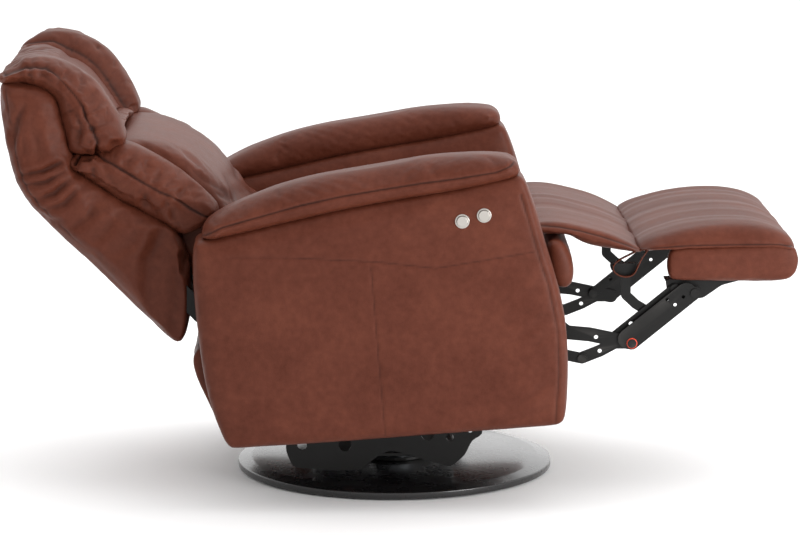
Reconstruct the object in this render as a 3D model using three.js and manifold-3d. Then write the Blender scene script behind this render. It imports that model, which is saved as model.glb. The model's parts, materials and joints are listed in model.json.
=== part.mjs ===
// A leather power recliner on a round swivel base, shown reclined with its footrest out.
// Millimetres, +Z up, +X is where the sitter faces, +Y is the sitter's left.
// The origin is on the floor, on the axis of the swivel.

import * as THREE from 'three';
import { mergeVertices } from 'three/addons/utils/BufferGeometryUtils.js';
import Module from 'manifold-3d';

const wasm = await Module();
wasm.setup();

// ---------------------------------------------------------------- driving dimensions

const DEGREE = Math.PI / 180;
const GAP = 0.3;                       // between touching pieces

const DISC_RADIUS = 300;
const DISC_RIM = 12;                   // height of the rim's upright edge
const DISC_TOP = 22;
const FELT = 3;

const TILT = 4 * DEGREE;               // the body leans back this much when it is reclined
const TILT_PIVOT = [0, 150];           // [x, z], as every pivot below

const ARM_INNER = 285;                 // half distances from the middle plane
const ARM_OUTER = 400;
const PAD_OUTER = 410;
const SEAT_HALF = 283;
const BACK_HALF = 300;
const FOOT_HALF = 265;

const BACK_PIVOT = [-215, 385];
const BACK_END_RADIUS = 95;            // the back cushion's round lower end, about the pivot
const BACK_FOOT = [-413, 288];         // lower rear corner of the back
const BACK_LEAN = 43.5 * DEGREE;       // from the vertical, reclined
const HEAD_PIVOT = [-672, 580];

const FOOT_PIVOT = [338, 470];         // crease where the calf flap meets the seat front
const LINK_REACH = [115, 94];          // from each lever pivot up to its pivot on the footrest
const LEVER_PIVOT = [FOOT_PIVOT[0] - LINK_REACH[0], FOOT_PIVOT[1] - LINK_REACH[1]];
const LEVER_KNEE = [314, 304];
const LEVER_UPPER = [398, 291];        // pin of the upper link
const LEVER_TIP = [434, 284];          // pin of the long link
const LEVER_HEEL = [342, 256];         // pin of the drive link
const DRIVE_REACH = [-70, 15];         // from the lever's heel back to the rocker's pin

const PLATE = 4;                       // thickness of the stamped links
const LAYER = { bracket: 227.5, upper: 232.5, lever: 237.5, long: 242.5 };
const PIN = 5;
const PIN_HOLE = 5.4;
const PIN_HEAD = 8.5;
const BASE_PLATE = 198;                // inner faces of the base plates and of the side plates
const SIDE_PLATE = 203;
const PIN_INNER = 190;                  // where the rivets of the base, side plates and bars end, across the chair
const PIN_MIDDLE = 210;
const PIN_OUTER = 215;

// ---------------------------------------------------------------- finishes

const finish = (color, roughness, metalness = 0) => ({ color, roughness, metalness });
const LEATHER = finish(0x6f4235, 0.45);
const LACQUER = finish(0x17171a, 0.15);
const BLACK_STEEL = finish(0x1b1b1d, 0.4, 0.6);
const ZINC = finish(0xa6a9ad, 0.35, 1);
const CHROME = finish(0xd8d8da, 0.15, 1);
const PLASTIC = finish(0x202022, 0.6);
const PLYWOOD = finish(0xc8a67a, 0.7);
const FELT_GREY = finish(0x4a4a4c, 0.95);

// ---------------------------------------------------------------- shape helpers

const plus = (a, b) => [a[0] + b[0], a[1] + b[1]];

// A closed outline in the X-Z plane with its corners eased over `ease` millimetres.
function outline(points, ease = 0) {
  const shape = new THREE.Shape();
  const corners = points.map(([x, z]) => new THREE.Vector2(x, z));
  corners.forEach((corner, i) => {
    const before = corners[(i + corners.length - 1) % corners.length];
    const after = corners[(i + 1) % corners.length];
    const into = corner.clone().lerp(before, Math.min(0.45, ease / corner.distanceTo(before)));
    const out = corner.clone().lerp(after, Math.min(0.45, ease / corner.distanceTo(after)));
    if (i === 0) shape.moveTo(into.x, into.y);
    else shape.lineTo(into.x, into.y);
    if (ease > 0) shape.quadraticCurveTo(corner.x, corner.y, out.x, out.y);
  });
  shape.closePath();
  return shape;
}

// An X-Z shape given thickness from y0 to y1, with its edges rounded by `bevel`.
function slab(shape, y0, y1, { bevel = 0, segments = 2 } = {}) {
  const low = Math.min(y0, y1);
  const high = Math.max(y0, y1);
  const geometry = new THREE.ExtrudeGeometry(shape, {
    depth: high - low - 2 * bevel,
    bevelEnabled: bevel > 0,
    bevelThickness: bevel,
    bevelSize: bevel,
    bevelOffset: -bevel,
    bevelSegments: 1,
    curveSegments: segments,
  });
  geometry.rotateX(Math.PI / 2);
  return geometry.translate(0, high - bevel, 0);
}

function block(x0, x1, y0, y1, z0, z1) {
  const geometry = new THREE.BoxGeometry(x1 - x0, Math.abs(y1 - y0), z1 - z0);
  return geometry.translate((x0 + x1) / 2, (y0 + y1) / 2, (z0 + z1) / 2);
}

// A round bar across the chair.
function bar([x, z], radius, y0, y1, sides = 14) {
  const geometry = new THREE.CylinderGeometry(radius, radius, Math.abs(y1 - y0), sides);
  return geometry.translate(x, (y0 + y1) / 2, z);
}

// A round bar along the chair.
function shaft(x0, x1, radius, y, z, sides = 16) {
  const geometry = new THREE.CylinderGeometry(radius, radius, x1 - x0, sides);
  geometry.rotateZ(Math.PI / 2);
  return geometry.translate((x0 + x1) / 2, y, z);
}

// A solid turned about the Z axis from [radius, z] points.
function turned(points, sides = 64) {
  const profile = points.map(([radius, z]) => new THREE.Vector2(radius, z));
  return new THREE.LatheGeometry(profile, sides).rotateX(Math.PI / 2);
}

function solid(geometry) {
  const bare = geometry.clone();
  bare.deleteAttribute('normal');
  bare.deleteAttribute('uv');
  const merged = mergeVertices(bare, 1e-3);
  return new wasm.Manifold(new wasm.Mesh({
    numProp: 3,
    vertProperties: Float32Array.from(merged.attributes.position.array),
    triVerts: Uint32Array.from(merged.index.array),
  }));
}

function geometryOf(body) {
  const { vertProperties, triVerts } = body.getMesh();
  const geometry = new THREE.BufferGeometry();
  geometry.setAttribute('position', new THREE.BufferAttribute(vertProperties, 3));
  geometry.setIndex(new THREE.BufferAttribute(triVerts, 1));
  geometry.computeVertexNormals();
  return geometry;
}

// The first geometry, joined with `added` and cut by `cut`.
function built(first, { added = [], cut = [] } = {}) {
  let body = solid(first);
  for (const geometry of added) body = body.add(solid(geometry));
  for (const geometry of cut) body = body.subtract(solid(geometry));
  return geometryOf(body);
}

// A stamped link: a strip of one half width along its points.
function strip(points, half, y0, y1) {
  const pieces = points.slice(1).map((end, i) => {
    const start = points[i];
    const angle = Math.atan2(end[1] - start[1], end[0] - start[0]);
    const shape = new THREE.Shape();
    shape.absarc(...end, half, angle - Math.PI / 2, angle + Math.PI / 2);
    shape.absarc(...start, half, angle + Math.PI / 2, angle + 1.5 * Math.PI);
    shape.closePath();
    return slab(shape, y0, y1, { segments: 4 });
  });
  return built(pieces[0], { added: pieces.slice(1) });
}

// A pin that stands on a link's face, passes the next link and ends in a flat head.
function rivet(point, side, from, to) {
  const head = to > from ? [to + 0.5, to + 3.5] : [to - 3.5, to - 0.5];
  const end = to > from ? head[0] + 1 : head[1] - 1;
  return built(bar(point, PIN, side * from, side * end, 10), {
    added: [bar(point, PIN_HEAD, side * head[0], side * head[1], 10)],
  });
}

// ---------------------------------------------------------------- assembly

const chair = new THREE.Group();

// Everything modelled in the body's own level frame leans back in this group.
const leaning = new THREE.Group();
leaning.position.set(TILT_PIVOT[0], 0, TILT_PIVOT[1]);
leaning.rotation.y = -TILT;
const level = new THREE.Group();
level.position.set(-TILT_PIVOT[0], 0, -TILT_PIVOT[1]);
leaning.add(level);
chair.add(leaning);

function add(name, geometry, look, parent = chair) {
  const mesh = new THREE.Mesh(geometry, new THREE.MeshStandardMaterial(look));
  mesh.name = name;
  parent.add(mesh);
}

// The same piece on both sides of the chair.
function addPair(name, make, look, parent = chair) {
  add(`${name}_right`, make(-1), look, parent);
  add(`${name}_left`, make(1), look, parent);
}

// ---------------------------------------------------------------- swivel base

add('floor_pad', turned([[0, 0], [285, 0], [285, FELT], [0, FELT]], 40), FELT_GREY);

const discFoot = FELT + GAP;
add('base_disc', turned([
  [0, discFoot], [296, discFoot], [DISC_RADIUS, discFoot + 3], [DISC_RADIUS, discFoot + DISC_RIM],
  [298, discFoot + DISC_RIM + 2], [277, DISC_TOP], [0, DISC_TOP],
], 48), LACQUER);

const flangeTop = DISC_TOP + 6;
const plateUnder = 62;
add('swivel_post', turned([
  [0, DISC_TOP + GAP], [70, DISC_TOP + GAP], [70, flangeTop], [24, flangeTop],
  [24, plateUnder - 4], [0, plateUnder - 4],
], 20), BLACK_STEEL);

add('swivel_bearing', turned([
  [24 + GAP, flangeTop + GAP], [36, flangeTop + GAP], [36, plateUnder - GAP],
  [24 + GAP, plateUnder - GAP], [24 + GAP, flangeTop + GAP],
], 20), ZINC);

// The plate on the bearing, welded to a tube at each end.
const REAR_TUBE = [-150, 56];
const FRONT_TUBE = [104, 64];
const plateHalf = BASE_PLATE - GAP;
const swivelSheet = block(REAR_TUBE[0], FRONT_TUBE[0], -plateHalf, plateHalf, plateUnder, plateUnder + 5);
add('swivel_plate', built(swivelSheet, {
  added: [bar(REAR_TUBE, 11, -plateHalf, plateHalf), bar(FRONT_TUBE, 11, -plateHalf, plateHalf)],
}), BLACK_STEEL);

// Stamped plates with two feet, an arch between them and lightening holes.
const basePlateOutline = [
  [-206, 72], [-193, 42], [-124, 36], [-68, 36], [-31, 66], [-8, 74], [84, 46], [102, 41], [128, 64],
  [141, 92], [162, 104], [158, 124], [120, 128], [60, 168], [0, 176], [-60, 168], [-150, 126], [-206, 104],
];
addPair('base_plate', (side) => {
  const shape = outline(basePlateOutline, 8);
  return built(slab(shape, side * BASE_PLATE, side * (BASE_PLATE + PLATE)), {
    cut: [
      bar(TILT_PIVOT, 8 + 0.4, side * PIN_INNER, side * PIN_MIDDLE),
      ...[[-176, 84, 9], [-96, 84, 12], [-48, 108, 8], [58, 104, 12], [100, 98, 7], [138, 110, 4]]
        .map(([x, z, radius]) => bar([x, z], radius, side * PIN_INNER, side * PIN_MIDDLE, 10)),
    ],
  });
}, BLACK_STEEL);

// ---------------------------------------------------------------- seat frame

// Side plates carry every pivot of the mechanism.
const ROCKER_PIVOT = plus(LEVER_PIVOT, DRIVE_REACH);
const LOWER_TUBE = [200, 255];
const sidePlateOutline = [
  [-219.6, 242], [-219.6, 274], [-130, 284], [-60, 330], [20, 369.6], [112, 369.6], [132, 400], [168, 404],
  [212, 398], [243, 388], [240, 356], [222, 250], [204, 238], [150, 224], [40, 150], [18, 128], [-18, 128],
  [-44, 150], [-130, 218],
];
addPair('side_plate', (side) => built(slab(outline(sidePlateOutline, 6), side * SIDE_PLATE,
  side * (SIDE_PLATE + PLATE)), {
  cut: [
    bar(TILT_PIVOT, 8.4, side * PIN_INNER, side * PIN_OUTER),
    bar(LEVER_PIVOT, 12.4, side * PIN_INNER, side * PIN_OUTER),
    bar(ROCKER_PIVOT, 8.4, side * PIN_INNER, side * PIN_OUTER),
    ...[[-120, 250, 14], [-30, 215, 16], [20, 290, 22], [110, 300, 22], [170, 300, 12]]
      .map(([x, z, radius]) => bar([x, z], radius, side * PIN_INNER, side * PIN_OUTER, 12)),
  ],
}), BLACK_STEEL);

add('tilt_axle', bar(TILT_PIVOT, 8, -212, 212), ZINC);
add('lower_front_tube', bar(LOWER_TUBE, 10, -SIDE_PLATE + GAP, SIDE_PLATE - GAP), BLACK_STEEL);
add('front_cross_rail', block(60, 100, -ARM_INNER + GAP, ARM_INNER - GAP, 370, 400), BLACK_STEEL);

// The rear rail has a hinge plate welded to each end, which holds the back's pivot.
const hingeOutline = [[-262, 236], [-214, 236], [-190, 385], [-200, 405], [-230, 405], [-242, 380]];
add('rear_cross_rail', built(block(-256, -220, -282, 282, 240, 275), {
  added: [-1, 1].map((side) => slab(outline(hingeOutline, 12), side * 281.3, side * 284.4)),
  cut: [-1, 1].map((side) => bar(BACK_PIVOT, 6.4, side * 270, side * 290, 10)),
}), BLACK_STEEL);

// ---------------------------------------------------------------- motors

// Each gear motor drives a carriage along a flat rail under the seat.
function motor(y) {
  return built(block(-219.6, -150, y - 30, y + 30, 231, 283), {
    added: [shaft(-152, -70, 22, y, 256)],
  });
}
const railOf = (y) => block(-69.6, 189.6, y - 9, y + 9, 246, 266);
const carriageOf = (y, x) => built(block(x - 22, x + 22, y - 20, y + 20, 232, 280), {
  cut: [block(x - 30, x + 30, y - 9.5, y + 9.5, 245.5, 266.5)],
});
const FOOT_MOTOR_Y = -70;
const BACK_MOTOR_Y = 70;
add('footrest_motor', motor(FOOT_MOTOR_Y), PLASTIC);
add('footrest_rail', railOf(FOOT_MOTOR_Y), ZINC);
add('footrest_carriage', carriageOf(FOOT_MOTOR_Y, 150), PLASTIC);
add('back_motor', motor(BACK_MOTOR_Y), PLASTIC);
add('back_rail', railOf(BACK_MOTOR_Y), ZINC);
add('back_carriage', carriageOf(BACK_MOTOR_Y, -20), PLASTIC);

// The socket for the supply lead, in the middle of the apron's lower edge.
add('power_inlet', built(block(-300, -262, -14, 14, 200, 224), {
  cut: [shaft(-306, -276, 7, 0, 212, 16)],
}), PLASTIC);

// ---------------------------------------------------------------- seat

add('seat_deck', block(-80, 270, -270, 270, 397, 403), PLYWOOD, level);
add('seat_cushion', slab(outline([
  [-85, 403.5], [285, 403.5], [287, 452], [272, 466], [-70, 466], [-85, 450],
], 20), -SEAT_HALF, SEAT_HALF, { bevel: 6 }), LEATHER, level);

add('front_roll', slab(outline([
  [270, 486], [300, 487], [318, 462], [327, 430], [326, 404], [316, 391], [299, 389], [280, 402], [274, 430],
], 10), -SEAT_HALF, SEAT_HALF, { bevel: 4 }), LEATHER);

add('rear_apron', slab(outline([
  [-328, 142], [-353, 195], [-368, 227], [-377, 262], [-372, 280], [-352, 290], [-345, 250], [-335, 205],
  [-308, 142],
], 6), -BACK_HALF + 18, BACK_HALF - 18), LEATHER);

// ---------------------------------------------------------------- arms

const armOutline = [
  [-309, 143], [292, 143], [306, 160], [315, 317], [303, 402], [278, 506], [265, 567], [255, 603],
  [231, 604], [123, 584], [-58, 567], [-238, 539], [-338, 523], [-345, 422], [-341, 293], [-330, 218],
];
const SWITCH = { x: 160.6, z: 533.5, turn: 11 * DEGREE, spacing: 40.4 };
const switchPlace = (along) => [
  SWITCH.x + along * Math.cos(SWITCH.turn), SWITCH.z + along * Math.sin(SWITCH.turn),
];

// A box on the switch's own slant, from y0 to y1.
function slantedBlock(length, height, y0, y1) {
  const geometry = new THREE.BoxGeometry(length, Math.abs(y1 - y0), height);
  geometry.rotateY(-SWITCH.turn);
  return geometry.translate(SWITCH.x, (y0 + y1) / 2, SWITCH.z);
}

addPair('arm', (side) => {
  const panel = slab(outline(armOutline, 14), side * ARM_INNER, side * ARM_OUTER, { bevel: 5 });
  if (side > 0) return panel;
  return built(panel, { cut: [slantedBlock(96, 40, -370, -406)] });
}, LEATHER, level);

addPair('arm_pad', (side) => slab(outline([
  [-343, 524.5], [-238, 540.5], [-58, 568.5], [123, 585.5], [231, 605.5], [252, 605.5], [248, 630],
  [226, 638], [90, 637], [-35, 623], [-167, 607], [-286, 573], [-338, 545],
], 12), side * ARM_INNER, side * PAD_OUTER), LEATHER, level);

const BUTTON_OUT = -408.5;
const buttonPlaces = [switchPlace(-SWITCH.spacing / 2), switchPlace(SWITCH.spacing / 2)];
add('switch_housing', built(slantedBlock(94, 38, -371, -399), {
  added: buttonPlaces.map((place) => bar(place, 13, -390, -404.5, 20)),
  cut: buttonPlaces.map((place) => bar(place, 10.2, -380, -420, 20)),
}), PLASTIC, level);
['button_close', 'button_open'].forEach((name, i) => {
  add(name, bar(buttonPlaces[i], 9.7, -392, BUTTON_OUT, 20), CHROME, level);
});

// ---------------------------------------------------------------- back

// A place on the back: `up` along its rear face, `out` towards the sitter.
const backPlace = ([up, out]) => [
  BACK_FOOT[0] - up * Math.sin(BACK_LEAN) + out * Math.cos(BACK_LEAN),
  BACK_FOOT[1] + up * Math.cos(BACK_LEAN) + out * Math.sin(BACK_LEAN),
];
const backOutline = (points, ease) => outline(points.map(backPlace), ease);

add('back_shell', slab(backOutline([[0, 0], [364, 0], [364, 60], [0, 60]], 18), -BACK_HALF, BACK_HALF,
  { bevel: 6 }), LEATHER);
add('back_board', slab(backOutline([[14, 61], [352, 61], [352, 76], [14, 76]], 0), -275, 275), PLYWOOD);

addPair('back_bracket', (side) => {
  const shape = backOutline([
    [-88, 204], [-70, 232], [-46, 222], [20, 99], [200, 99], [206, 64], [-6, 64],
  ], 10);
  return built(slab(shape, side * 276.3, side * 279.6), {
    added: [bar(BACK_PIVOT, 6, side * 278, side * 284.8, 10)],
  });
}, BLACK_STEEL);

const ROUND_END_SIDES = 28;
const roundEnd = Array.from({ length: ROUND_END_SIDES }, (_, i) => {
  const angle = (2 * Math.PI * i) / ROUND_END_SIDES;
  return plus(BACK_PIVOT, [BACK_END_RADIUS * Math.cos(angle), BACK_END_RADIUS * Math.sin(angle)]);
});
add('back_cushion', built(slab(outline(roundEnd), -272, 272), {
  added: [
    slab(backOutline([[56, 77], [0, 77], [-100, 150], [-66, 300], [56, 262]], 8), -272, 272),
    slab(backOutline([[318, 77], [20, 77], [0, 262], [67, 261], [247, 252], [318, 205], [330, 165]], 10),
      -200, 200),
  ],
}), LEATHER);

addPair('bolster', (side) => slab(backOutline([
  [358, 101], [300, 112], [220, 132], [100, 160], [66, 178], [84, 236], [135, 247], [241, 231], [318, 205],
  [330, 165],
], 10), side * 203, side * SEAT_HALF), LEATHER);

// ---------------------------------------------------------------- headrest

add('head_shell', slab(outline([
  [-689, 600], [-703, 624], [-716, 690], [-723, 727], [-727, 766], [-704, 786], [-664, 764], [-648, 730],
  [-640, 606],
], 8), -BACK_HALF, BACK_HALF), LEATHER);

const headBoardSide = [[-622, 652], [-634, 652], [-642, 732], [-630, 732]];
add('head_board', slab(outline(headBoardSide, 0), -255, 255), PLYWOOD);

add('head_hinge', built(bar(HEAD_PIVOT, 8, -220, 220), {
  added: [slab(outline([[-678, 582], [-670, 573], [-626, 600], [-617, 651], [-629, 651], [-634, 609]], 3),
    -200, 200)],
}), BLACK_STEEL);

add('head_cushion', slab(outline([
  [-475, 694], [-484, 717], [-499, 749], [-517, 784], [-536, 806], [-562, 830], [-595, 840], [-644, 831],
  [-694, 803], [-662, 776], [-630, 758], [-612, 725], [-603, 668], [-575, 649], [-535, 658], [-500, 684],
], 8), -BACK_HALF, BACK_HALF), LEATHER);

// ---------------------------------------------------------------- footrest

add('calf_flap', slab(outline([
  [344, 504], [392, 493], [422, 479], [441, 468], [441, 461], [400, 462], [352, 469], [344, 474],
], 4), -FOOT_HALF, FOOT_HALF), LEATHER);

add('footrest_pad', slab(outline([
  [446, 462], [446, 468], [470, 482], [529, 500], [608, 508], [660, 504], [700, 492], [727, 474],
  [738, 452], [738, 430], [729, 414.2], [512, 414.2], [500, 426], [485, 448],
], 8), -FOOT_HALF, FOOT_HALF), LEATHER);

add('footrest_board', block(512, 725, -250, 250, 401, 413.6), PLYWOOD);

const UPPER_ON_PAD = plus(LEVER_UPPER, LINK_REACH);
const LONG_ON_PAD = plus(LEVER_TIP, LINK_REACH);
addPair('pad_bracket', (side) => {
  const web = outline([[496, 400.6], [640, 400.6], [600, 390], [566, 366], [536, 364], [500, 372]], 5);
  const bracket = slab(web, side * LAYER.bracket, side * (LAYER.bracket + PLATE));
  return built(bracket, {
    added: [
      block(496, 640, side * PIN_INNER, side * (LAYER.bracket + 1), 397.6, 400.6),
      rivet(UPPER_ON_PAD, side, LAYER.bracket + 1, LAYER.upper + PLATE),
      rivet(LONG_ON_PAD, side, LAYER.bracket + 1, LAYER.long + PLATE),
    ],
  });
}, BLACK_STEEL);

// ---------------------------------------------------------------- footrest linkage

add('lever_tube', bar(LEVER_PIVOT, 12, -LAYER.lever + GAP, LAYER.lever - GAP), BLACK_STEEL);

addPair('lever', (side) => {
  const [y0, y1] = [side * LAYER.lever, side * (LAYER.lever + PLATE)];
  const web = built(strip([LEVER_PIVOT, LEVER_KNEE, [356, 300], LEVER_UPPER, LEVER_TIP], 13, y0, y1), {
    added: [strip([LEVER_HEEL, [375, 269], [403, 284], LEVER_TIP], 11, y0, y1)],
  });
  return built(web, {
    added: [
      bar(LEVER_PIVOT, 9, side * (LAYER.lever + 2), side * (LAYER.lever + PLATE + 3), 10),
      rivet(LEVER_UPPER, side, LAYER.lever + 1, LAYER.upper),
      rivet(LEVER_TIP, side, LAYER.lever + 1, LAYER.long + PLATE),
      rivet(LEVER_HEEL, side, LAYER.lever + 1, LAYER.long + PLATE),
    ],
    cut: [
      ...[[290, 322], [368, 295], [375, 269]].map((place) => bar(place, 4, side * 235, side * 255, 10)),
    ],
  });
}, BLACK_STEEL);

// A flat link between two pins, with a round hole for each and lightening holes between them.
function flatLink(side, from, to, half, layer, extra = []) {
  const [low, high] = [side * (layer - 3), side * (layer + PLATE + 3)];
  const along = (part) => [from[0] + part * (to[0] - from[0]), from[1] + part * (to[1] - from[1])];
  const holes = extra.map(along);
  return built(strip([from, to], half, side * layer, side * (layer + PLATE)), {
    cut: [
      bar(from, PIN_HOLE, low, high, 10),
      bar(to, PIN_HOLE, low, high, 10),
      ...holes.map((place) => bar(place, 4, low, high, 8)),
    ],
  });
}

// The long link is a wide pressing above its two pins, with small holes near the pad.
const longCentre = [plus(LEVER_TIP, [-7, 8]), plus(LONG_ON_PAD, [-16, 0])];
addPair('long_link', (side) => {
  const [y0, y1] = [side * LAYER.long, side * (LAYER.long + PLATE)];
  return built(strip(longCentre, 19, y0, y1), {
    added: [strip([LEVER_TIP, LONG_ON_PAD], 12, y0, y1)],
    cut: [
      bar(LEVER_TIP, PIN_HOLE, side * (LAYER.long - 3), side * (LAYER.long + 7), 10),
      bar(LONG_ON_PAD, PIN_HOLE, side * (LAYER.long - 3), side * (LAYER.long + 7), 10),
      ...[[498, 366], [528, 371], [513, 356]].map((place) => bar(place, 3.5, side * 230, side * 250, 8)),
    ],
  });
}, BLACK_STEEL);
addPair('upper_link', (side) => flatLink(side, LEVER_UPPER, UPPER_ON_PAD, 9.5, LAYER.upper, [0.3]),
  BLACK_STEEL);

// The flap's support stands on the upper link and carries a leather covered cap under the flap.
const FLAP_SUPPORT_FOOT = [459, 344];
addPair('flap_support', (side) => {
  const arm = strip([FLAP_SUPPORT_FOOT, [441, 355], [423, 372], [423, 412]], 9, side * LAYER.bracket,
    side * (LAYER.bracket + PLATE));
  const cap = slab(outline([[413, 409], [433, 409], [442, 420], [442, 432], [394, 432], [394, 420]], 5),
    side * 219, side * (LAYER.upper + PLATE));
  return built(arm, {
    added: [cap, bar(FLAP_SUPPORT_FOOT, 6, side * (LAYER.bracket - 3), side * (LAYER.upper - GAP), 10)],
  });
}, BLACK_STEEL);

const ROCKER_PIN = plus(LEVER_HEEL, DRIVE_REACH);
addPair('drive_link', (side) => flatLink(side, ROCKER_PIN, LEVER_HEEL, 10, LAYER.long), BLACK_STEEL);
addPair('rocker', (side) => built(strip([ROCKER_PIVOT, ROCKER_PIN], 10, side * LAYER.lever,
  side * (LAYER.lever + PLATE)), {
  added: [
    bar(ROCKER_PIVOT, 8, side * 200, side * (LAYER.lever + 2), 10),
    rivet(ROCKER_PIN, side, LAYER.lever + 1, LAYER.long + PLATE),
  ],
}), BLACK_STEEL);

export default chair;
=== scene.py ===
import json
import math

import bmesh
import bpy
import numpy as np
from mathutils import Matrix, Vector


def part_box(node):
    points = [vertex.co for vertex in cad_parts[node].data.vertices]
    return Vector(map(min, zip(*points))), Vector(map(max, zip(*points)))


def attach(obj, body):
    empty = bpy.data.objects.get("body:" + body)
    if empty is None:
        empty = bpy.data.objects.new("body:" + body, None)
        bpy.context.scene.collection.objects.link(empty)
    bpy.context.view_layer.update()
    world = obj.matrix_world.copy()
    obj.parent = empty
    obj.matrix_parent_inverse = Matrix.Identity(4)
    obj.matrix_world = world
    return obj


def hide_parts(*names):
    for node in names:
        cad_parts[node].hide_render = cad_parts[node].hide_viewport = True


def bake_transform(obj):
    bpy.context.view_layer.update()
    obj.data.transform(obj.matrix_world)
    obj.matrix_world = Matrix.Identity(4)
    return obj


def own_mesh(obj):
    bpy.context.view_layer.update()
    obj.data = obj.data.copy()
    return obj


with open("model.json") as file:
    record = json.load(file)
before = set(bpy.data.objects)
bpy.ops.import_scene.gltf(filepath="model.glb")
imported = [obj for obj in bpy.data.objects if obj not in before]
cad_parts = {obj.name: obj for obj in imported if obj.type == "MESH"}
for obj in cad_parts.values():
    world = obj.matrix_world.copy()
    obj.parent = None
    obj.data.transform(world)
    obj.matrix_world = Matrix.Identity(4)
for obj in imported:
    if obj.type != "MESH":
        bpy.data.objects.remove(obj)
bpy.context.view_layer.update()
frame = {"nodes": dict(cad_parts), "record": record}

MM = 0.001
scene = bpy.context.scene
scene.view_settings.view_transform = "Standard"


# ---------------------------------------------------------------- camera and studio
# A long lens from the sitter's right, a little above the arms. The room is a plain white floor in soft, even
# light, with a wide soft box overhead and a small one on the camera's side, past the footrest.
lens = bpy.data.cameras.new("camera")
lens.sensor_width = 36
lens.lens = 156.1
lens.clip_end = 60
camera = bpy.data.objects.new("camera", lens)
camera.location = (-0.121, -6.519, 1.5265)
camera.rotation_euler = (math.pi / 2 - 0.17338, 0, -0.020215)
scene.collection.objects.link(camera)
scene.camera = camera


def linear(hex_colour):
    """An sRGB hex value as Blender's linear colour."""
    parts = [int(hex_colour[i:i + 2], 16) / 255 for i in (1, 3, 5)]
    return tuple(c / 12.92 if c <= 0.04045 else ((c + 0.055) / 1.055) ** 2.4 for c in parts) + (1.0,)


def node(tree, kind, links=(), **settings):
    """Adds a node, sets its properties and sockets, and links (socket, from_node, from_socket) into it."""
    made = tree.nodes.new(kind)
    for key, value in settings.items():
        if hasattr(made, key):
            setattr(made, key, value)
        else:
            made.inputs[key.replace("_", " ")].default_value = value
    for socket, source, output in links:
        tree.links.new(source.outputs[output], made.inputs[socket])
    return made


def blank_material(name):
    """A node material holding only its output."""
    material = bpy.data.materials.new(name)
    material.use_nodes = True
    tree = material.node_tree
    tree.nodes.clear()
    return material, tree, tree.nodes.new("ShaderNodeOutputMaterial")


def area_light(name, place, aim, size, power):
    """A rectangular white soft box at `place`, facing `aim`."""
    data = bpy.data.lights.new(name, "AREA")
    data.shape = "RECTANGLE"
    data.size, data.size_y = size
    data.energy = power
    lamp = bpy.data.objects.new(name, data)
    lamp.location = place
    away = lamp.location - Vector(aim)
    lamp.rotation_euler = away.to_track_quat("Z", "Y").to_euler()
    scene.collection.objects.link(lamp)


area_light("overhead_softbox", (0.3, 0.6, 3.4), aim=(0, 0, 0), size=(5.0, 4.0), power=40)
area_light("front_softbox", (2.3, -2.1, 0.9), aim=(0.4, 0, 0.4), size=(1.2, 1.0), power=58)

# The room is brighter overhead and behind the chair than it is behind the camera.
BRIGHT_SIDE = (0.36, 0.52, 0.775)
DARKEST, BRIGHTEST = 0.06, 1.72
world = bpy.data.worlds.new("studio")
world.use_nodes = True
tree = world.node_tree
way = node(tree, "ShaderNodeTexCoord")
facing = node(tree, "ShaderNodeVectorMath", [(0, way, "Generated")], operation="DOT_PRODUCT")
facing.inputs[1].default_value = BRIGHT_SIDE
glow = node(tree, "ShaderNodeMapRange", [("Value", facing, "Value")], From_Min=-1.0, From_Max=1.0,
            To_Min=DARKEST, To_Max=BRIGHTEST)
tree.links.new(glow.outputs[0], tree.nodes["Background"].inputs["Strength"])
tree.nodes["Background"].inputs["Color"].default_value = (1, 1, 1, 1)
scene.world = world

white, tree, out = blank_material("white_paper")
paper = node(tree, "ShaderNodeBsdfPrincipled", Base_Color=(0.94, 0.94, 0.94, 1), Roughness=0.7)
tree.links.new(paper.outputs[0], out.inputs["Surface"])
bpy.ops.mesh.primitive_plane_add(size=40, location=(0, 0, 0))
floor = bpy.context.object
floor.name = "floor"
floor.data.materials.append(white)


# ---------------------------------------------------------------- leather
# Semi-aniline cowhide, drum dyed reddish brown and lightly pigmented, so the colour clouds softly and the
# light catches a soft, wide sheen; shade is painted darker into the folds and seams. Its pebbled grain is
# about a millimetre across.
GRAIN = 1.6 * MM            # one pebble, drawn a little coarse so that it shows
PORE = 0.7 * MM
MOTTLE = 14 * MM            # blotches in the dye
CLOUD = 90 * MM             # its wide, soft changes of depth


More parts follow.
